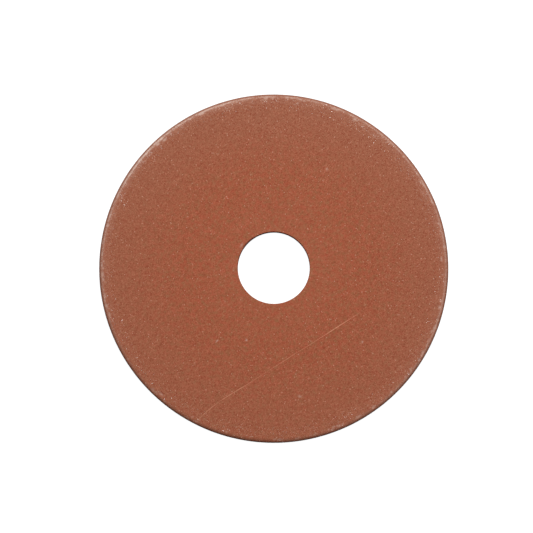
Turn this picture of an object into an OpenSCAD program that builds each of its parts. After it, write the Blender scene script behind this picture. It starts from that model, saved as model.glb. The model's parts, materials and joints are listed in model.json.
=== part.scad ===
// Thin resin-bond grinding wheel with a diamond rim, lying flat on its back face.
// The wheel's axis is Z, and the origin is on that axis at the back face.
// The wheel is pressed and cured in one mould, so its pieces meet face to face.

/* [Wheel] */
// Outside diameter of the wheel
wheel_d = 108; // [90:0.5:135]
// Thickness between the two faces
wheel_t = 3.2; // [2.6:0.1:5]
// Diameter of the bore that fits the machine's arbor
bore_d = 22.2; // [16:0.1:30]

/* [Diamond rim] */
// Radial depth of the layer that holds diamond
rim_depth = 5; // [3.5:0.5:8]
// Radius that rounds both corners of the rim
edge_radius = 1.4; // [0.4:0.1:2.4]

/* [Backing ring] */
// Radial depth of the ring without diamond behind the rim
backing_depth = 2.5; // [2:0.1:4]
// Radial reach of the tongues that key the rings and the core together
tongue_depth = 0.9; // [0.5:0.1:1.2]
// Thickness of the outer tongue where it leaves the backing ring
tongue_root_t = 1.6; // [1.2:0.1:2]
// Thickness of the outer tongue at its tip
tongue_tip_t = 1; // [0.6:0.1:1.1]

/* [Core layers] */
// Thickness of resin between a face and the glass mesh under it
cover_t = 0.75; // [0.5:0.05:0.85]

/* [Glass mesh] */
// Thickness of one yarn
yarn_t = 0.2; // [0.12:0.01:0.24]
// Width of one yarn
yarn_w = 1; // [0.6:0.1:1.6]
// Distance from one yarn to the next
yarn_pitch = 5; // [4:0.25:8]
// Thickness that two yarns share where they cross and are pressed together
crossing_bite = 0.05; // [0.02:0.01:0.08]
// Angle between the yarns of the front mesh and those of the back mesh
mesh_turn = 45; // [0:5:90]
// Resin between the mesh and the bore
mesh_bore_margin = 2; // [1:0.25:4]
// Resin between the mesh and the core's outer edge
mesh_edge_margin = 0.5; // [0.3:0.1:1.5]

/* [Hidden] */
$fn = 144;
// Overshoot that carries a cutting shape clear through a face
over = 1;

wheel_r = wheel_d / 2;
bore_r = bore_d / 2;
mid_z = wheel_t / 2;

// The rounded corners leave a narrow land between them on the rim
least_land = 0.3;
corner_r = min(edge_radius, (wheel_t - least_land) / 2);

// Radii where one piece ends and the next begins
rim_in_r = wheel_r - rim_depth;
core_r = rim_in_r - backing_depth;
tongue_in_r = core_r - tongue_depth;

// The mesh lies in the inner side of each face layer
mesh_t = 2 * yarn_t - crossing_bite;
face_layer_t = cover_t + mesh_t;
middle_t = wheel_t - 2 * face_layer_t;
mesh_in_r = bore_r + mesh_bore_margin;
mesh_out_r = core_r - mesh_edge_margin;
yarn_steps = floor((mesh_out_r - yarn_w) / yarn_pitch);

bond_red = [0.64, 0.37, 0.27];
core_red = [0.62, 0.35, 0.25];
backing_red = [0.57, 0.31, 0.22];
glass_white = [0.86, 0.86, 0.80];

// Flat ring on the XY plane
module flat_ring(inner_r, outer_r, height) {
    difference() {
        cylinder(r = outer_r, h = height);
        translate([0, 0, -over])
            cylinder(r = inner_r, h = height + 2 * over);
    }
}

// What lies outside a rounded corner, drawn with the corner at the origin and the
// wheel towards -X and -Y
module corner_waste(radius) {
    difference() {
        translate([-radius, -radius])
            square(radius + over);
        translate([-radius, -radius])
            circle(r = radius);
    }
}

// Cross-section of the tapered tongue at a radius, across the wheel's mid-plane
module tongue_section(root_r) {
    polygon([
        [root_r, mid_z - tongue_root_t / 2],
        [root_r + tongue_depth, mid_z - tongue_tip_t / 2],
        [root_r + tongue_depth, mid_z + tongue_tip_t / 2],
        [root_r, mid_z + tongue_root_t / 2]
    ]);
}

// Outer ring of resin bond that holds the diamond: rounded corners outside, and the
// groove for the backing ring's tongue inside
module diamond_rim() {
    color(bond_red)
        rotate_extrude()
            difference() {
                translate([rim_in_r, 0])
                    square([rim_depth, wheel_t]);
                translate([wheel_r, wheel_t])
                    corner_waste(corner_r);
                translate([wheel_r, 0])
                    mirror([0, 1])
                        corner_waste(corner_r);
                tongue_section(rim_in_r);
            }
}

// Ring of the same bond without diamond, keyed to the rim outside and to the core inside
module backing_ring() {
    color(backing_red)
        rotate_extrude()
            union() {
                translate([core_r, 0])
                    square([backing_depth, wheel_t]);
                translate([tongue_in_r, mid_z - middle_t / 2])
                    square([tongue_depth, middle_t]);
                tongue_section(rim_in_r);
            }
}

// One set of parallel yarns along X, trimmed to the round mesh
module yarn_set() {
    intersection() {
        flat_ring(mesh_in_r, mesh_out_r, yarn_t);
        for (step = [-yarn_steps:yarn_steps])
            translate([-wheel_r, step * yarn_pitch - yarn_w / 2, 0])
                cube([wheel_d, yarn_w, yarn_t]);
    }
}

// Glass mesh: weft below, warp across it and pressed into it by the crossing bite
module glass_mesh(turn) {
    rotate([0, 0, turn])
        union() {
            yarn_set();
            translate([0, 0, mesh_t - yarn_t])
                rotate([0, 0, 90])
                    yarn_set();
        }
}

// Core layer under a face, with the mesh pressed into its inner side
module face_layer(turn) {
    difference() {
        flat_ring(bore_r, core_r, face_layer_t);
        glass_mesh(turn);
    }
}

// Carries a shape built from the core's inner side upwards to the front half of the wheel
module at_front() {
    translate([0, 0, wheel_t - face_layer_t])
        children();
}

// The same for the back half, turned over
module at_back() {
    translate([0, 0, face_layer_t])
        mirror([0, 0, 1])
            children();
}

module front_core_layer() {
    color(core_red)
        at_front()
            face_layer(0);
}

module front_glass_mesh() {
    color(glass_white)
        at_front()
            glass_mesh(0);
}

module middle_core_layer() {
    color(core_red)
        translate([0, 0, mid_z - middle_t / 2])
            flat_ring(bore_r, tongue_in_r, middle_t);
}

module back_glass_mesh() {
    color(glass_white)
        at_back()
            glass_mesh(mesh_turn);
}

module back_core_layer() {
    color(core_red)
        at_back()
            face_layer(mesh_turn);
}

diamond_rim();
backing_ring();
front_core_layer();
front_glass_mesh();
middle_core_layer();
back_glass_mesh();
back_core_layer();
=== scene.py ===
import json
import math

import bpy
import numpy as np
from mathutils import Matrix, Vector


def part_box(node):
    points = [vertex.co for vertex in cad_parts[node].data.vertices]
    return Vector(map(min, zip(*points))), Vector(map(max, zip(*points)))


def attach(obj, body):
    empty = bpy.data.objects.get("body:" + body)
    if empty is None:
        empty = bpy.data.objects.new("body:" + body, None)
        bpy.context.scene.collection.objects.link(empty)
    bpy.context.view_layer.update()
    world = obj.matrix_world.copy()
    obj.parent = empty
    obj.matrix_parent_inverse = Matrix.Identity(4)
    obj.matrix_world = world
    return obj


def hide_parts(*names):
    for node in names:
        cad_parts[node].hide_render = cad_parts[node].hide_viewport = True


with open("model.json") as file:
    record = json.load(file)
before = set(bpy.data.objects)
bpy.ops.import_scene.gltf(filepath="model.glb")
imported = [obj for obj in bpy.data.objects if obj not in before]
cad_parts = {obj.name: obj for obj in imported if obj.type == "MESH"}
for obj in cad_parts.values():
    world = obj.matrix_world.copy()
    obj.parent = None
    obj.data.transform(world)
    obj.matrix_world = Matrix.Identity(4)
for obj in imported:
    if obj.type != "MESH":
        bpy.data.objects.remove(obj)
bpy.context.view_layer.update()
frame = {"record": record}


# ---- Front core layer ------------------------------------------------------------------
# The layer of resin and filler under the front face. Its moulding powder is pressed cold
# over a glass mesh and cured hot with the other layers, which leaves a matte face of fine
# grains. A long light scratch runs over it, and a few small nicks lie beside it.

MM = 0.001


def radius_of(node):
    """How far a round node reaches from the wheel's axis."""
    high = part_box(node)[1]
    return max(high.x, high.y)


WHEEL_R = radius_of("diamond_rim")
WHEEL_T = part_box("diamond_rim")[1].z
MID = WHEEL_T / 2
BORE_R = frame["record"]["mounts"][0]["dims"]["r_mm"] * MM
CORE_R = radius_of("front_core_layer")
HAIR = 0.01 * MM
CORNER_R = 1.4 * MM
BORE_EDGE_BREAK = 0.2 * MM
FACE_STEP = 0.45 * MM
HIDDEN_STEP = 4 * MM
CORE_SEGMENTS = 640
BREAK_STEPS = 3
SHARP_ANGLE = math.radians(50)
GRAIN = 0.4 * MM
GRAIN_RELIEF = 0.022 * MM
SWELL = 2.2 * MM
SWELL_RELIEF = 0.008 * MM


def straight(start, end, step):
    """Points from start up to, but without, end, evenly spaced and about one step apart."""
    count = max(1, round(math.dist(start, end) / step))
    return np.linspace(start, end, count, endpoint=False)


def bend(centre, radius, first, last, count):
    """Points on an arc round centre from the first angle up to, but without, the last."""
    angle = np.radians(np.linspace(first, last, count, endpoint=False))
    return np.array(centre) + radius * np.column_stack((np.cos(angle), np.sin(angle)))


def core_ring_profile(outer_r, low, high):
    """Outline of a bored layer, anticlockwise from its low bore edge. A side that is a face
    of the wheel has fine steps and a rounded bore edge."""
    top, bottom = high > WHEEL_T - HAIR, low < HAIR
    top_break, bottom_break = BORE_EDGE_BREAK * top, BORE_EDGE_BREAK * bottom
    top_step, bottom_step = (FACE_STEP if shown else HIDDEN_STEP for shown in (top, bottom))
    return np.concatenate((
        straight((BORE_R + bottom_break, low), (outer_r, low), bottom_step),
        straight((outer_r, low), (outer_r, high), HIDDEN_STEP),
        straight((outer_r, high), (BORE_R + top_break, high), top_step),
        bend((BORE_R + top_break, high - top_break), top_break, 90, 180, BREAK_STEPS * top),
        straight((BORE_R, high - top_break), (BORE_R, low + bottom_break), FACE_STEP),
        bend((BORE_R + bottom_break, low + bottom_break), bottom_break, 180, 270,
             BREAK_STEPS * bottom),
    ))


def turned(profile, segments):
    """Points and outward normals of a closed (r, z) profile turned once round Z. A profile
    point goes to (r cos a, r sin a, z). Its normal is square to the line through its two
    neighbours, which run anticlockwise, so it points out of the solid."""
    along = np.roll(profile, -1, axis=0) - np.roll(profile, 1, axis=0)
    along /= np.linalg.norm(along, axis=1, keepdims=True)
    angle = np.linspace(0, 2 * np.pi, segments, endpoint=False)[:, None]
    r, z = profile[:, 0], profile[:, 1]
    points = np.stack((r * np.cos(angle), r * np.sin(angle), z + 0 * angle), axis=-1)
    out, up = along[:, 1], -along[:, 0]
    normals = np.stack((out * np.cos(angle), out * np.sin(angle), up + 0 * angle), axis=-1)
    return points, normals


def outside_push(points, normals):
    """Direction out of the wheel at each point of its outside: straight up or down on a
    face, straight towards the axis on the bore wall, and square to the surface on a
    rounding. It is zero on the joints inside the wheel."""
    radius = np.hypot(points[..., :1], points[..., 1:2])
    side = points[..., 2:] - MID
    on_face = np.abs(side) > MID - HAIR
    in_bore = radius < BORE_R + HAIR
    on_rounding = (radius < BORE_R + BORE_EDGE_BREAK) | (radius > WHEEL_R - CORNER_R)
    push = np.where(in_bore, normals * (1, 1, 0), normals)
    push = np.where(on_face, np.sign(side) * (0, 0, 1), push)
    return push * (on_face | in_bore | on_rounding)


def field(points, size, seed):
    """Smooth random field from -1 to 1 with features of one size. Each corner of a lattice
    takes the fraction of a large sine of its whole-number place, and a point blends the
    eight corners round it by 3t^2 - 2t^3 along each axis."""
    cell = np.floor(points / size)
    t = points / size - cell
    t = t * t * (3 - 2 * t)
    total = 0
    for corner in np.ndindex(2, 2, 2):
        wave = np.sin((cell + corner) @ (12.9898, 78.233, 37.719) + seed) * 43758.5453
        weight = np.prod(np.where(corner, t, 1 - t), axis=-1)
        total = total + weight * (2 * (wave - np.floor(wave)) - 1)
    return total


def pressed_depth(points):
    """How far the pressed surface lies below its mould: half of each relief, plus a fine
    field of grains and a broad swell that go half of it either way."""
    grains = GRAIN_RELIEF * (0.5 + 0.5 * field(points, GRAIN, 1))
    swell = SWELL_RELIEF * (0.5 + 0.5 * field(points, SWELL, 2))
    return grains + swell


SCRATCH_START = np.array((26.6, -13.9)) * MM
SCRATCH_HEADING = math.radians(212.3)
SCRATCH_LENGTH = 62 * MM
SCRATCH_STRAIGHT = 50 * MM
SCRATCH_TAIL_BEND = 13
SCRATCH_WANDER = 0.12 * MM
SCRATCH_DEPTH = 0.035 * MM
SCRATCH_HALF_WIDTH = 0.12 * MM
SCRATCH_REACH = 1.5 * MM
SCRATCH_PULL = 0.7
SCRATCH_WAVE = 5 * MM
SCRATCH_SKIP = 1.1 * MM
# Shares of the scratch's length over which it fades in and out
SCRATCH_START_FADE = 1 / 30
SCRATCH_END_FADE = 1 / 8
# Share of the scratch's length, and how hard it was pressed there
SCRATCH_PRESS = ((0.0, 0.9), (0.06, 0.5), (0.12, 0.9), (0.17, 0.9), (0.2, 0.4), (0.3, 0.4),
                 (0.36, 0.25), (0.42, 0.4), (0.5, 0.35), (0.56, 0.2), (0.63, 0.3), (0.7, 0.6),
                 (0.78, 0.6), (0.82, 0.35), (0.88, 0.6), (1.0, 0.6))
# Place x and y in mm, heading in degrees and half-length in mm of each nick
NICKS = ((-9.95, 6.8, 62, 0.7), (-17.5, -22.6, 50, 0.35), (-8.5, -22.3, 120, 0.4),
         (8.0, -39.7, 150, 0.45), (27.2, -22.9, 35, 0.3), (16.5, 30.5, 80, 0.3))
NICK_HALF_WIDTH = 0.17 * MM


def beside(points, start, heading):
    """How far each point lies along a line on the face, and how far to its right."""
    away = points[..., :2] - start
    ahead = np.array((math.cos(heading), math.sin(heading)))
    right = np.array((ahead[1], -ahead[0]))
    return away @ ahead, away @ right


def scratch_place(points):
    """Distance along the scratch and to its side. Its tail leaves the straight line by the
    square of the distance past the straight stretch, and all of it wanders a little."""
    along, side = beside(points, SCRATCH_START, SCRATCH_HEADING)
    past = np.clip(along - SCRATCH_STRAIGHT, 0, None)
    wander = SCRATCH_WANDER * field(points, SCRATCH_WAVE, 5)
    return along, side + SCRATCH_TAIL_BEND * past * past + wander


def gathered(points):
    """Face points near the scratch, drawn in towards it so that its groove gets a finer
    grid: a distance d to its side becomes d * (1 - pull * (1 - d / reach)). The pull fades
    at the scratch's ends and at the layer's edge."""
    along, side = scratch_place(points)
    far = np.clip(np.abs(side) / SCRATCH_REACH, 0, 1)
    ends = np.minimum(along, SCRATCH_LENGTH - along)
    edge = CORE_R - np.hypot(points[..., 0], points[..., 1])
    pull = np.clip(np.minimum(ends, edge) / SCRATCH_REACH, 0, 1)
    moved = side * (far - 1) * SCRATCH_PULL * pull
    right = np.array((math.sin(SCRATCH_HEADING), -math.cos(SCRATCH_HEADING)))
    shifted = points.copy()
    shifted[..., :2] += moved[..., None] * right
    return shifted


def scratch_marks(points, on_front):
    """The distance to the scratch's side, and its strength: 1 where it is deepest. It was
    pressed harder at some places than at others, skips where the grains stood lower, and
    fades at its end."""
    along, side = scratch_place(points)
    share = np.clip(along / SCRATCH_LENGTH, 0, 1)
    fade = np.clip(share / SCRATCH_START_FADE, 0, 1) * np.clip((1 - share) / SCRATCH_END_FADE, 0, 1)
    skips = np.clip(1 + 0.5 * field(points, SCRATCH_SKIP, 4), 0, 1)
    return side, fade * skips * np.interp(share, *zip(*SCRATCH_PRESS)) * on_front


def nick_strength(points, on_front):
    """1 in the middle of a nick and 0 away from it. A nick has a place and a heading, and
    fades by a bell curve of the distance over its half-length and half-width."""
    strength = 0
    for x, y, heading, half in NICKS:
        along, side = beside(points, np.array((x, y)) * MM, math.radians(heading))
        bell = -(along / (half * MM)) ** 2 - (side / NICK_HALF_WIDTH) ** 2
        strength = np.maximum(strength, np.exp(bell))
    return strength * on_front


def placed(name, data):
    """An object with the given data, put in the scene."""
    thing = bpy.data.objects.new(name, data)
    bpy.context.scene.collection.objects.link(thing)
    return thing


def smooth_mesh(name, points, faces, marks):
    """Mesh shaded smooth except over its sharp edges. marks names numbers or vectors on its
    points for the material to read."""
    mesh = bpy.data.meshes.new(name)
    mesh.from_pydata(points, [], faces)
    for mark, values in marks.items():
        kind, key = ("FLOAT", "value") if values.ndim == 1 else ("FLOAT_VECTOR", "vector")
        attribute = mesh.attributes.new(mark, kind, "POINT")
        attribute.data.foreach_set(key, values.astype(np.float32).ravel())
    mesh.shade_smooth()
    mesh.set_sharp_from_angle(angle=SHARP_ANGLE)
    return mesh


def closed_grid(name, points, marks):
    """Mesh piece from a grid of points that closes on itself both ways, as a ring does."""
    rows, columns = points.shape[:2]
    here = np.arange(rows * columns).reshape(rows, columns)
    around = np.roll(here, -1, axis=0)
    faces = np.stack((here, around, np.roll(around, -1, 1), np.roll(here, -1, 1)), axis=-1)
    marks = {mark: values.ravel() for mark, values in marks.items()}
    return placed(name, smooth_mesh(name, points.reshape(-1, 3), faces.reshape(-1, 4), marks))


class Number:
    """A number that varies over a surface. Each operator used on it adds its Math node."""

    def __init__(self, finish, socket):
        self.finish = finish
        self.socket = socket

    def math(self, operation, *others):
        made = self.finish.node("Math", enumerate((self, *others)), operation=operation)
        return Number(self.finish, made.outputs[0])

    def __add__(self, other):
        return self.math("ADD", other)

    def __mul__(self, other):
        return self.math("MULTIPLY", other)

    def __sub__(self, other):
        return self.math("SUBTRACT", other)

    def __rsub__(self, other):
        return self * -1 + other

    def __truediv__(self, other):
        return self.math("DIVIDE", other)

    def __pow__(self, power):
        return self.math("POWER", power)

    __radd__ = __add__

    def ramp(self, low, high, to_low=0.0, to_high=1.0):
        """Smooth step from to_low at low to to_high at high."""
        inputs = {"Value": self, "From Min": low, "From Max": high,
                  "To Min": to_low, "To Max": to_high}
        made = self.finish.node("MapRange", inputs, interpolation_type="SMOOTHSTEP")
        return Number(self.finish, made.outputs["Result"])


class Finish:
    """A material that is built by adding nodes in front of its one surface shader."""

    def __init__(self, name):
        self.material = bpy.data.materials.new(name)
        self.material.use_nodes = True
        self.tree = self.material.node_tree
        self.shader = self.tree.nodes["Principled BSDF"]

    def feed(self, socket, value):
        """Links a Number or a socket to a socket, or sets a plain value on it."""
        if isinstance(value, Number):
            value = value.socket
        if isinstance(value, bpy.types.NodeSocket):
            self.tree.links.new(value, socket)
        else:
            socket.default_value = value

    def node(self, kind, inputs=(), **settings):
        """Any node: its settings first, then the value or the link of each named or
        numbered socket."""
        made = self.tree.nodes.new("ShaderNode" + kind)
        for setting, value in settings.items():
            setattr(made, setting, value)
        for key, value in dict(inputs).items():
            self.feed(made.inputs[key], value)
        return made

    def number(self, kind, inputs=(), output=0, **settings):
        """The Number that a node gives at one of its outputs."""
        return Number(self, self.node(kind, inputs, **settings).outputs[output])

    def mark(self, name):
        """The Number that a piece carries on its points under a name."""
        return self.number("Attribute", output="Fac", attribute_name=name)

    def noise(self, size, detail=0.0, place=None):
        """Soft noise round 0 with features of one size."""
        inputs = {"Scale": 1 / size, "Detail": detail, "Roughness": 0.6}
        inputs["Vector"] = place or self.node("TexCoord").outputs["Object"]
        return self.number("TexNoise", inputs) - 0.5

    def mixed(self, share, colour, other):
        """Colour that goes from colour to other as share goes from 0 to 1."""
        made = self.node("Mix", data_type="RGBA")
        for key, value in (("Factor_Float", share), ("A_Color", colour), ("B_Color", other)):
            found = next(s for s in made.inputs if s.identifier == key)
            self.feed(found, value)
        return next(s for s in made.outputs if s.identifier == "Result_Color")

    def surface(self, **inputs):
        """Feeds the surface shader's sockets and returns the material."""
        for key, value in inputs.items():
            self.feed(self.shader.inputs[key.replace("_", " ")], value)
        return self.material


BRICK = (0.236, 0.0560, 0.0187, 1)
BRICK_BROWN = (0.196, 0.0675, 0.0215, 1)
BRICK_ROSE = (0.264, 0.0495, 0.0175, 1)
BRICK_DARK = (0.160, 0.0175, 0.0000, 1)
BRICK_PALE = (0.430, 0.1680, 0.0950, 1)
# Grey of dust on the face outwards, and of a painted sheen towards +Y
BRICK_DUST_AND_SHEEN = (0.222, 0.0705, 0.0325, 1)
SCRATCHED = (0.560, 0.2500, 0.1500, 1)
# Pale of rubbed wear, also laid as a painted highlight over the rim's rounding
PALE_WEAR_AND_HIGHLIGHT = (0.580, 0.4400, 0.3700, 1)
# A painted glint colour, laid into single grains in place of light
GLINT = (0.700, 0.4800, 0.3500, 1)
# Painted shade on the bore's edge towards +Y, and a dark spot there
PAINTED_BORE_SHADE = (0.090, 0.0100, 0.0000, 1)
# A pair holds the two ends of a smooth step: radii, shares of the way towards +Y, or the
# strength at those ends
BROWN_PATCH = 1.0 * MM
ROSE_PATCH = 1.5 * MM
DUST_R = 24 * MM, 54 * MM
DUST_SHARE = 0.80
# Painted sheen: how much more the face greys towards +Y, where the light comes from
SHEEN_UPWARD = 0.3
DUST_PATCH = 7 * MM
GRAIN_TONE = 0.26 * MM
TONE_BLEND = 0.3 * MM
CONTRAST_R = 12 * MM, 36 * MM
CONTRAST = 0.72, 0.92
STREAK_R = 34 * MM, 12 * MM
STREAK_WIDTH = 0.035
GLINT_CHANCE = 0.984, 0.992
GLINT_EDGE = 0.55, 0.25
# Radii of the corner's pale band and line, partly wear and partly a painted highlight
WORN_R = 51.2 * MM
WORN_SHIFT = 1.3 * MM
WORN_HALF = 1.3 * MM
# Radii of the painted highlight over the rim's rounding
ROUNDING_HIGHLIGHT_R = 52.2 * MM, 53.0 * MM
WORN_LINE_R = 53.15 * MM
WORN_LINE_HALF = 0.36 * MM
FLECK = 0.23 * MM
FLECK_CLUMP = 3 * MM
FLECK_TURN_R = 30 * MM
# Flecks grow towards +Y, where the light falls: partly a painted highlight
FLECK_HIGHLIGHT_UPWARD = -0.2, 0.7
# Place, span and radii of a dark spot on the bore's edge
DARK_SPOT_AT = math.radians(134)
DARK_SPOT_SPAN = 0.972, 0.992
DARK_SPOT_R = BORE_R + 0.6 * MM, BORE_R + 0.2 * MM
# Painted shade along the bore's edge towards +Y
BORE_SHADE_R = BORE_R + 0.3 * MM, BORE_R + 0.1 * MM
BORE_SHADE_UPWARD = -0.1, 0.4
RUBBED_PATCH = 0.4 * MM
BUMP_GRAIN = 0.25 * MM
BUMP_HEIGHT = 0.03 * MM


class Bond(Finish):
    """Pressed brick-red resin bond, painted in layers. Each method that takes a colour lays
    one layer over it."""

    def __init__(self, name):
        super().__init__(name)
        self.place = self.node("TexCoord").outputs["Object"]
        split = self.node("SeparateXYZ", {"Vector": self.place})
        x, y = (Number(self, split.outputs[k]) for k in (0, 1))
        self.radius = (x * x + y * y) ** 0.5
        self.rightward, self.upward = x / self.radius, y / self.radius
        grains = self.node("TexVoronoi", {"Vector": self.place, "Scale": 1 / GRAIN_TONE})
        dice = self.node("SeparateColor", {"Color": grains.outputs["Color"]})
        self.tone, self.chance, self.tint = (Number(self, dice.outputs[k]) for k in range(3))
        self.to_centre = Number(self, grains.outputs["Distance"])
        self.glint = self.chance.ramp(*GLINT_CHANCE) * self.to_centre.ramp(*GLINT_EDGE)

    def mottled(self, colour):
        """Brown patches, and rose ones over them."""
        brown = self.tint * 0.3 + self.noise(BROWN_PATCH, 2) * 3.5 + 0.25
        rose = self.noise(ROSE_PATCH, 2) * 3.1 + 0.3
        return self.mixed(rose, self.mixed(brown, colour, BRICK_BROWN), BRICK_ROSE)

    def dusty_and_sheen(self, colour):
        """Dust that greys the bond outwards, and a painted sheen that greys it a little more
        towards +Y, the side the light comes from.
        """
        dust_and_sheen = self.radius.ramp(*DUST_R, 0.0, DUST_SHARE) * (1 + self.upward * SHEEN_UPWARD)
        return self.mixed(dust_and_sheen * (1 + self.noise(DUST_PATCH, 3) * 0.5), colour, BRICK_DUST_AND_SHEEN)

    def grainy(self, colour):
        """Dark grains and pale grains, which stand out more with the radius."""
        contrast = self.radius.ramp(*CONTRAST_R, *CONTRAST)
        dark = 0.70 - self.tone + self.noise(TONE_BLEND, 1) * 1.1
        colour = self.mixed(dark.ramp(0, 0.9, 0, 0.9) * contrast, colour, BRICK_DARK)
        pale = (self.chance - 0.5) * 0.75 + self.noise(TONE_BLEND, 1) * 0.7
        return self.mixed(pale.ramp(0, 0.6, 0, 0.45) * contrast, colour, BRICK_PALE)

    def streaked(self, colour):
        """Pale streaks that run out from the bore, left by the filling of the mould."""
        heading = self.node("VectorMath", {0: self.place}, operation="NORMALIZE")
        streak = self.noise(STREAK_WIDTH, 3, heading.outputs["Vector"])
        return self.mixed(streak * self.radius.ramp(*STREAK_R) * 0.7, colour, BRICK_PALE)

    def painted_glints(self, colour):
        """A painted glint: single grains get a pale colour in their middle."""
        return self.mixed(self.glint * 0.3, colour, GLINT)

    def worn_and_highlit(self, colour):
        """Pale flecks in a band beside the rim's corner, a pale tone over the rounding, and a
        thin broken line on it, each as strong as the corner's wear there. The flecks and the line
        are wear made stronger towards +Y, where the light falls, so partly a painted highlight;
        the pale tone over the rounding is a painted highlight."""
        worn_and_highlit = self.mark("worn_and_highlit")
        turn = self.node("CombineXYZ", {0: self.rightward * FLECK_TURN_R,
                                        1: self.upward * FLECK_TURN_R, 2: self.radius})
        patches = self.noise(FLECK, 1, turn.outputs["Vector"])
        clumps = self.noise(FLECK_CLUMP, 1) * 0.6
        from_line = self.radius - worn_and_highlit * WORN_SHIFT - WORN_R
        band = (from_line * from_line).ramp(WORN_HALF ** 2, (WORN_HALF / 4) ** 2)
        fleck = (patches + clumps + band * 0.22 - 0.32).ramp(0, 0.12) * band
        # Stronger towards +Y, where the light falls: partly a painted highlight
        fleck = fleck * self.upward.ramp(*FLECK_HIGHLIGHT_UPWARD) * worn_and_highlit.ramp(0, 1, 0.10, 0.28)
        colour = self.mixed(fleck, colour, PALE_WEAR_AND_HIGHLIGHT)
        # Painted highlight: a pale tone over the rounding, strongest where the light falls
        rounded = self.radius.ramp(*ROUNDING_HIGHLIGHT_R)
        colour = self.mixed((band * 0.04 + rounded * 0.11) * worn_and_highlit, colour, PALE_WEAR_AND_HIGHLIGHT)
        from_line = self.radius - WORN_LINE_R
        line = (from_line * from_line).ramp(WORN_LINE_HALF ** 2, 0) * worn_and_highlit ** 1.5
        broken = (patches * 3 + clumps * 3 + 0.6).ramp(0, 1)
        return self.mixed(line * broken * 0.7, colour, PALE_WEAR_AND_HIGHLIGHT)

    def painted_bore_shade_and_spot(self, colour):
        """Painted shade: a dark tone on the bore's edge towards +Y, where its wall faces away from
        the light, with a wider dark spot on its left.
        """
        toward = self.rightward * math.cos(DARK_SPOT_AT) + self.upward * math.sin(DARK_SPOT_AT)
        spot = toward.ramp(*DARK_SPOT_SPAN) * self.radius.ramp(*DARK_SPOT_R)
        # Painted shade along the upper bore edge, which faces away from the light
        arc = self.upward.ramp(*BORE_SHADE_UPWARD) * self.radius.ramp(*BORE_SHADE_R)
        return self.mixed((spot + arc) * 0.8, colour, PAINTED_BORE_SHADE)

    def scratched(self, colour):
        """The bottom of the long scratch, and what the nicks and chips have rubbed bare."""
        side = self.mark("scratch_side")
        bottom = (side * side).ramp(SCRATCH_HALF_WIDTH ** 2, (SCRATCH_HALF_WIDTH / 4) ** 2)
        colour = self.mixed(bottom * self.mark("scratch") * 0.8, colour, SCRATCHED)
        return self.mixed(self.mark("rubbed") * (0.5 + self.noise(RUBBED_PATCH, 2)), colour, PALE_WEAR_AND_HIGHLIGHT)

    def painted(self):
        """The material with all the layers, and a bump of single grains."""
        colour = BRICK
        for layer in (self.mottled, self.dusty_and_sheen, self.grainy, self.streaked, self.painted_glints,
                      self.worn_and_highlit, self.painted_bore_shade_and_spot, self.scratched):
            colour = layer(colour)
        height = (1 - self.to_centre) * 0.5 + self.noise(BUMP_GRAIN, 2) * 0.8
        bump = self.node("Bump", {"Strength": 0.8, "Distance": BUMP_HEIGHT, "Height": height})
        return self.surface(Base_Color=colour, Roughness=0.88 - self.glint * 0.4,
                            Normal=bump.outputs["Normal"])


bond = Bond("brick_red_resin_bond").painted()


def pressed_piece(name, profile, segments, node, chips=None):
    """A piece of the wheel turned from its profile. Its outside lies below the mould by the
    pressed depth, the scratch, the nick and the chips, and its joints stay plain. It rides
    on the wheel and stands for one CAD node."""
    points, normals = turned(profile, segments)
    push = outside_push(points, normals)
    on_front = push[..., 2] > 0.9
    if node == "front_core_layer":
        points = np.where(on_front[..., None], gathered(points), points)
    side, scratch = scratch_marks(points, on_front)
    nick = nick_strength(points, on_front)
    rubbed, chip_depth, worn_and_highlit = (nick, 0, 0 * nick) if chips is None else chips(points)
    groove = scratch * np.exp(-(side / SCRATCH_HALF_WIDTH) ** 2) + nick
    depth = pressed_depth(points) + SCRATCH_DEPTH * groove + chip_depth
    marks = {"scratch_side": side, "scratch": scratch, "rubbed": rubbed, "worn_and_highlit": worn_and_highlit}
    piece = closed_grid(name, points - push * depth[..., None], marks)
    piece.data.materials.append(bond)
    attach(piece, "root")
    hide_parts(node)
    return piece


low, high = (corner.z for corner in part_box("front_core_layer"))
front_layer = pressed_piece("front_face_layer", core_ring_profile(CORE_R, low, high),
                            CORE_SEGMENTS, "front_core_layer")


# ---- Middle core layer -----------------------------------------------------------------
# Plain ring of the same filled resin between the two glass meshes. Only its bore wall can
# be seen, as the middle third of the bore.

middle_low, middle_high = (corner.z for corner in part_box("middle_core_layer"))
middle_r = radius_of("middle_core_layer")
pressed_piece("middle_layer", core_ring_profile(middle_r, middle_low, middle_high),
              CORE_SEGMENTS, "middle_core_layer")


# ---- Back core layer -------------------------------------------------------------------
# The front layer's twin under the back face, pressed against the mould's lower plate. The
# wheel lies on it.

low, high = (corner.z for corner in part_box("back_core_layer"))
back_layer = pressed_piece("back_face_layer", core_ring_profile(CORE_R, low, high),
                           CORE_SEGMENTS, "back_core_layer")


# ---- Glass meshes ----------------------------------------------------------------------
# Open plain weave of flat glass yarns, dipped in resin, that keeps a thin wheel together.
# One is pressed into the inner side of each face layer, which keeps its print, and the two
# have their yarns turned against each other.

YARN_PITCH = 5 * MM
YARN_HALF_WIDTH = 0.5 * MM
YARN_HALF_THICK = 0.1 * MM
YARN_WAVE = 0.075 * MM
YARN_SQUARENESS = 0.7
YARN_STEP = 1.0 * MM
YARN_SIDES = 8
BACK_MESH_TURN = math.radians(45)
MESH_SINK = 0.02 * MM
MESH_BORE_MARGIN = 2 * MM
FIBRE = 0.07 * MM
FIBRE_STRETCH = (0.02, 1, 0.3)
DIPPED_PATCH = 1.5 * MM
FIBRE_BUMP = 0.02 * MM
RESIN_GLASS = (0.52, 0.41, 0.24, 1)
BARE_GLASS = (0.78, 0.74, 0.62, 1)

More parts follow.
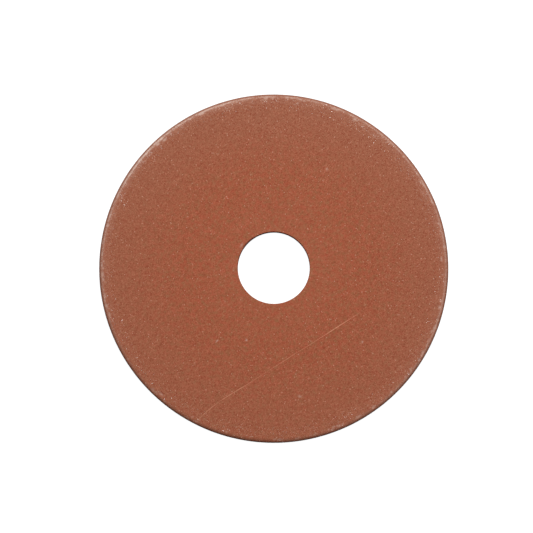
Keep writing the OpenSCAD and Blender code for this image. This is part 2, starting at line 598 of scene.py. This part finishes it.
mesh_inner_r = BORE_R + MESH_BORE_MARGIN
mesh_outer_r = radius_of("front_glass_mesh")
mesh_low, mesh_high = (corner.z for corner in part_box("front_glass_mesh"))


def yarn(start, end, count, lift):
    """Points of one yarn along X. Its middle waves by a cosine of the distance over the
    pitch, with its sign changing from yarn to yarn, and its section is an oval squared off
    by powers of the sine and the cosine."""
    x = np.linspace(start, end, max(2, round((end - start) / YARN_STEP)) + 1)[:, None]
    turn = np.arange(YARN_SIDES) * 2 * np.pi / YARN_SIDES
    wide = np.sign(np.cos(turn)) * np.abs(np.cos(turn)) ** YARN_SQUARENESS
    tall = np.sign(np.sin(turn)) * np.abs(np.sin(turn)) ** YARN_SQUARENESS
    middle = lift * YARN_WAVE * np.cos(np.pi * x / YARN_PITCH) * (-1) ** count
    y = count * YARN_PITCH + YARN_HALF_WIDTH * wide
    return np.stack((x + 0 * y, y + 0 * x, middle + YARN_HALF_THICK * tall), axis=-1)


def yarn_set(across, front, lowest):
    """Mesh of all the yarns of one direction. Each ends where it would leave the round mesh
    or enter the hole in its middle. A set across the first is turned by a quarter and waves
    the other way. The back mesh is turned over. Nothing reaches below the lowest height,
    where the yarns were pressed flat."""
    points, faces = [], []
    total = 0
    steps = int((mesh_outer_r - YARN_HALF_WIDTH) / YARN_PITCH)
    for count in range(-steps, steps + 1):
        far = abs(count) * YARN_PITCH + YARN_HALF_WIDTH
        near = max(0, far - 2 * YARN_HALF_WIDTH)
        end = math.sqrt(mesh_outer_r ** 2 - far ** 2)
        start = math.sqrt(max(0, mesh_inner_r ** 2 - near ** 2))
        for span in [(-end, -start), (start, end)] if start else [(-end, end)]:
            tube = yarn(*span, count, -1 if across else 1)
            here = total + np.arange(len(tube) * YARN_SIDES).reshape(-1, YARN_SIDES)
            beside = np.roll(here, -1, axis=1)
            walls = np.stack((here[:-1], beside[:-1], beside[1:], here[1:]), axis=-1)
            faces += [*walls.reshape(-1, 4).tolist(), here[0, ::-1].tolist(), here[-1].tolist()]
            points.append(tube.reshape(-1, 3))
            total += len(points[-1])
    points = np.concatenate(points)
    fibres = points * FIBRE_STRETCH
    points[:, 2] = np.maximum(points[:, 2] + (mesh_low + mesh_high) / 2 - MESH_SINK, lowest)
    if across:
        points = points[:, (1, 0, 2)] * (-1, 1, 1)
    if not front:
        c, s = math.cos(BACK_MESH_TURN), math.sin(BACK_MESH_TURN)
        points = points @ ((c, s, 0), (s, -c, 0), (0, 0, -1)) + (0, 0, WHEEL_T)
    return smooth_mesh("yarn_set", points, faces, {"fibre": fibres})


def combined(piece, operation, mesh, material):
    """Joins a closed mesh to a piece, or takes it out of the piece, and gives the whole
    piece one material."""
    tool = placed("tool", mesh)
    step = piece.modifiers.new(operation, "BOOLEAN")
    step.object, step.operation, step.solver = tool, operation, "MANIFOLD"
    worked = piece.evaluated_get(bpy.context.evaluated_depsgraph_get())
    piece.data = bpy.data.meshes.new_from_object(worked)
    piece.modifiers.clear()
    piece.data.materials.clear()
    piece.data.materials.append(material)
    bpy.data.objects.remove(tool)


glass = Finish("resin_dipped_glass_yarn")
fibres = glass.number("TexNoise", {
    "Vector": glass.node("Attribute", attribute_name="fibre").outputs["Vector"],
    "Scale": 1 / FIBRE, "Detail": 2})
dipped = glass.noise(DIPPED_PATCH, 2) * 1.5 + fibres
glass_bump = glass.node("Bump", {"Strength": 0.7, "Distance": FIBRE_BUMP, "Height": fibres})
woven_glass = glass.surface(
    Base_Color=glass.mixed(dipped.ramp(0.35, 0.7), RESIN_GLASS, BARE_GLASS),
    Roughness=fibres.ramp(0.3, 0.7, 0.3, 0.5),
    Normal=glass_bump.outputs["Normal"],
)

for name, front, layer in (("front_glass_weave", True, front_layer),
                           ("back_glass_weave", False, back_layer)):
    for across in (False, True):
        combined(layer, "DIFFERENCE", yarn_set(across, front, 0), bond)
    weave = placed(name, yarn_set(False, front, mesh_low))
    combined(weave, "UNION", yarn_set(True, front, mesh_low), woven_glass)
    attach(weave, "root")
    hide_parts(name.replace("weave", "mesh"))


# ---- Backing ring ----------------------------------------------------------------------
# Ring of the same bond without diamond, moulded between the core and the rim. A square
# tongue keys it into the core, and a tapered one into the rim.

TONGUE_ROOT = 1.6 * MM
TONGUE_TIP = 1.0 * MM
RING_SEGMENTS = 1440
tongue_reach = CORE_R - middle_r
rim_in_r = radius_of("backing_ring") - tongue_reach


def tongue(root_r):
    """The tapered tongue's corners, from the lower root round its tip to the upper root."""
    tip_r = root_r + tongue_reach
    heights = (-TONGUE_ROOT, -TONGUE_TIP, TONGUE_TIP, TONGUE_ROOT)
    return [(r, MID + height / 2) for r, height in zip((root_r, tip_r, tip_r, root_r), heights)]


def chain(corners, step):
    """Straight stretches from corner to corner, without the last corner."""
    return [straight(a, b, step) for a, b in zip(corners, corners[1:])]


pressed_piece("backing_ring_piece", np.concatenate((
    straight((CORE_R, 0), (rim_in_r, 0), FACE_STEP),
    *chain([(rim_in_r, 0), *tongue(rim_in_r), (rim_in_r, WHEEL_T)], HIDDEN_STEP),
    straight((rim_in_r, WHEEL_T), (CORE_R, WHEEL_T), FACE_STEP),
    *chain([(CORE_R, WHEEL_T), (CORE_R, middle_high), (middle_r, middle_high),
            (middle_r, middle_low), (CORE_R, middle_low), (CORE_R, 0)], HIDDEN_STEP),
)), RING_SEGMENTS // 2, "backing_ring")


# ---- Working rim -----------------------------------------------------------------------
# The ring that grinds: brick-red resin bond filled with fine diamond. Both corners are
# rounded by dressing, and the line where each rounding meets the face is rubbed pale, with
# small chips. The rubbing grows towards +Y, where the light falls, and a painted highlight
# lies over the rounding there.

RIM_STEP = 0.3 * MM
ROUND_STEPS = 9
CHIPS = 260
CHIP_REACH = 0.28 * MM
CHIP_OFFSET = 0.25 * MM
CHIP_SCATTER = 0.3 * MM
CHIP_SPREAD = 0.35
CHIP_STRETCH = 1.0, 3.0
CHIP_DEPTH = 0.3
# Angle round the rim in degrees, and the corners' wear there. It sets how rubbed the chips
# are and how strong the painted highlight is; it is strongest towards -X and +Y, where the
# light falls, and nil towards -Y
WEAR_AND_HIGHLIGHT = ((0, 0.50), (45, 0.55), (90, 0.55), (135, 1.00), (180, 0.50),
        (225, 0.10), (270, 0.00), (315, 0.35), (360, 0.50))


def corner_wear_and_highlight(points):
    """Share rubbed bare, depth of chips, and wear of the corners round the rim, which is
    read off a table by the angle and also sets how strong the painted highlight on the corner
    is. A chip is a dish: its depth falls with the square of the distance from its centre, in
    units of its reach, which is longer along the corner."""
    random = np.random.default_rng(4)
    angle = random.uniform(0, 2 * np.pi, CHIPS)
    radius = WHEEL_R - CORNER_R + random.normal(CHIP_OFFSET, CHIP_SCATTER, CHIPS)
    side = random.choice((0, WHEEL_T), CHIPS)
    reach = random.lognormal(0, CHIP_SPREAD, CHIPS) * CHIP_REACH
    stretch = random.uniform(*CHIP_STRETCH, CHIPS)
    around = np.arctan2(points[..., 1], points[..., 0])
    wear = np.interp(np.degrees(around) % 360, *zip(*WEAR_AND_HIGHLIGHT))
    dish = np.zeros(points.shape[:2])
    depth = np.zeros(points.shape[:2])
    for a, r, z, size, long in zip(angle, radius, side, reach, stretch):
        turn = (around - a + np.pi) % (2 * np.pi) - np.pi
        away = np.hypot(points[..., 0], points[..., 1]) - r
        near = 1 - (turn * r / (size * long)) ** 2 - (away / size) ** 2
        near = np.clip(near - ((points[..., 2] - z) / (2 * size)) ** 2, 0, 1)
        dish = np.maximum(dish, np.sqrt(near))
        depth = np.maximum(depth, CHIP_DEPTH * size * near)
    return dish * (0.3 + 0.5 * wear), depth, wear


edge_profile = np.concatenate((
    straight((rim_in_r, 0), (WHEEL_R - CORNER_R, 0), RIM_STEP),
    bend((WHEEL_R - CORNER_R, CORNER_R), CORNER_R, -90, 0, ROUND_STEPS),
    straight((WHEEL_R, CORNER_R), (WHEEL_R, WHEEL_T - CORNER_R), RIM_STEP),
    bend((WHEEL_R - CORNER_R, WHEEL_T - CORNER_R), CORNER_R, 0, 90, ROUND_STEPS),
    straight((WHEEL_R - CORNER_R, WHEEL_T), (rim_in_r, WHEEL_T), RIM_STEP),
))
groove = [(rim_in_r, WHEEL_T), *reversed(tongue(rim_in_r)), (rim_in_r, 0)]
pressed_piece("working_rim", np.concatenate((edge_profile, *chain(groove, HIDDEN_STEP))),
              RING_SEGMENTS, "diamond_rim", corner_wear_and_highlight)


# ---- Diamond grit ----------------------------------------------------------------------
# Fine diamond crystals held in the rim's bond. Those at its surface lay against the mould,
# so they end flush with it and stand a little out of the grain between them.

CRYSTALS = 12000
CRYSTAL_SIZE = 0.065 * MM
CRYSTAL_SPREAD = 0.2
CRYSTAL_SINK = 0.02 * MM
CORNERS = np.array(((1, 0, 0), (-1, 0, 0), (0, 1, 0), (0, -1, 0), (0, 0, 1), (0, 0, -1)))
FACETS = np.array(((0, 2, 4), (2, 1, 4), (1, 3, 4), (3, 0, 4),
                   (2, 0, 5), (1, 2, 5), (3, 1, 5), (0, 3, 5)))
DIAMOND = (0.34, 0.19, 0.12, 1)
DIAMOND_IOR = 2.42
CLEAR_PATCH = 0.3 * MM


def crystals_on(profile, seed):
    """Corners of small octahedra, six for each, strewn evenly along a profile and round the
    wheel. Each is turned at random by a unit quaternion, and its middle is sunk a little
    below the pressed surface. Nothing reaches past the mould's faces."""
    random = np.random.default_rng(seed)
    place = random.uniform(0, len(profile) - 1, CRYSTALS)
    nodes = np.arange(len(profile))
    r, z = (np.interp(place, nodes, profile[:, k]) for k in (0, 1))
    along = np.gradient(profile, axis=0)
    along /= np.linalg.norm(along, axis=1, keepdims=True)
    out, up = np.interp(place, nodes, along[:, 1]), -np.interp(place, nodes, along[:, 0])
    angle = random.uniform(0, 2 * np.pi, CRYSTALS)
    centre = np.column_stack((r * np.cos(angle), r * np.sin(angle), z))
    normal = np.column_stack((out * np.cos(angle), out * np.sin(angle), up))
    centre -= normal * (pressed_depth(centre) + CRYSTAL_SINK)[:, None]
    q = random.normal(size=(CRYSTALS, 4))
    w, v = np.split(q / np.linalg.norm(q, axis=1, keepdims=True), (1,), axis=1)
    w, v = w[:, None], v[:, None]
    twist = 2 * np.cross(v, CORNERS[None])
    turned_corners = CORNERS + w * twist + np.cross(v, twist)
    size = CRYSTAL_SIZE * random.lognormal(0, CRYSTAL_SPREAD, CRYSTALS)
    corners = centre[:, None] + turned_corners * size[:, None, None]
    reach = np.hypot(corners[..., 0], corners[..., 1])
    corners[..., :2] *= np.minimum(1, WHEEL_R / reach)[..., None]
    corners[..., 2] = np.clip(corners[..., 2], 0, WHEEL_T)
    return corners


corners = crystals_on(edge_profile, 7)
facets = FACETS + 6 * np.arange(CRYSTALS)[:, None, None]
grit_mesh = bpy.data.meshes.new("rim_diamond_grit")
grit_mesh.from_pydata(corners.reshape(-1, 3), [], facets.reshape(-1, 3))
grit = placed("rim_diamond_grit", grit_mesh)
crystal = Finish("diamond_crystal")
clear = crystal.noise(CLEAR_PATCH, 1)
# Clear patches take the pale GLINT colour: partly cleaner crystal, partly a painted glint
grit_mesh.materials.append(crystal.surface(
    Base_Color=crystal.mixed(clear * 2 + 0.3, DIAMOND, GLINT),
    Roughness=clear * 0.4 + 0.3, IOR=DIAMOND_IOR))
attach(grit, "root")


# ---- Floor, light and camera -----------------------------------------------------------
# A pale table with a soft light above the wheel, towards its far side, and a weak even
# light from all round. The camera looks almost straight down from far above.

FLOOR_HALF = 3.0
FLOOR_CORNERS = [(-FLOOR_HALF, -FLOOR_HALF, 0), (FLOOR_HALF, -FLOOR_HALF, 0),
                 (FLOOR_HALF, FLOOR_HALF, 0), (-FLOOR_HALF, FLOOR_HALF, 0)]
FLOOR_GREY = (0.15, 0.15, 0.15, 1)
BLACK = (0, 0, 0, 1)
WHITE = (1, 1, 1, 1)
KEY_PLACE = (0.08, 0.37, 0.80)
KEY_SIZE = 0.30
KEY_POWER = 10.8
EVEN_LIGHT = 0.18
CAMERA_DISTANCE = 1.2
CAMERA_ELEVATION = math.radians(86.0)
CAMERA_AIM = (-2.250 * MM, 0.515 * MM, 1.6 * MM)
CAMERA_LENS = 262.1

floor_mesh = bpy.data.meshes.new("floor")
floor_mesh.from_pydata(FLOOR_CORNERS, [], [(0, 1, 2, 3)])
floor = placed("floor", floor_mesh)
table = Finish("pale_table")
glow = table.mixed(table.number("LightPath", output="Is Camera Ray"), BLACK, WHITE)
floor_mesh.materials.append(table.surface(
    Base_Color=FLOOR_GREY, Roughness=0.9, Specular_IOR_Level=0.0,
    Emission_Color=glow, Emission_Strength=1.0))

key = placed("key_light", bpy.data.lights.new("key_light", "AREA"))
key.data.size = KEY_SIZE
key.data.energy = KEY_POWER
key.location = KEY_PLACE
key.rotation_mode = "QUATERNION"
key.rotation_quaternion = (-key.location).to_track_quat("-Z", "Y")

world = bpy.data.worlds.new("even_light")
world.use_nodes = True
world.node_tree.nodes["Background"].inputs["Color"].default_value = WHITE
world.node_tree.nodes["Background"].inputs["Strength"].default_value = EVEN_LIGHT
bpy.context.scene.world = world

back = np.array((0, -math.cos(CAMERA_ELEVATION), math.sin(CAMERA_ELEVATION)))
camera = placed("camera", bpy.data.cameras.new("camera"))
camera.data.sensor_width = 36
camera.data.lens = CAMERA_LENS
camera.data.clip_start = 0.01
camera.location = np.array(CAMERA_AIM) + CAMERA_DISTANCE * back
camera.rotation_euler = (math.radians(90) - CAMERA_ELEVATION, 0, 0)
bpy.context.scene.camera = camera
bpy.context.scene.view_settings.view_transform = "Standard"
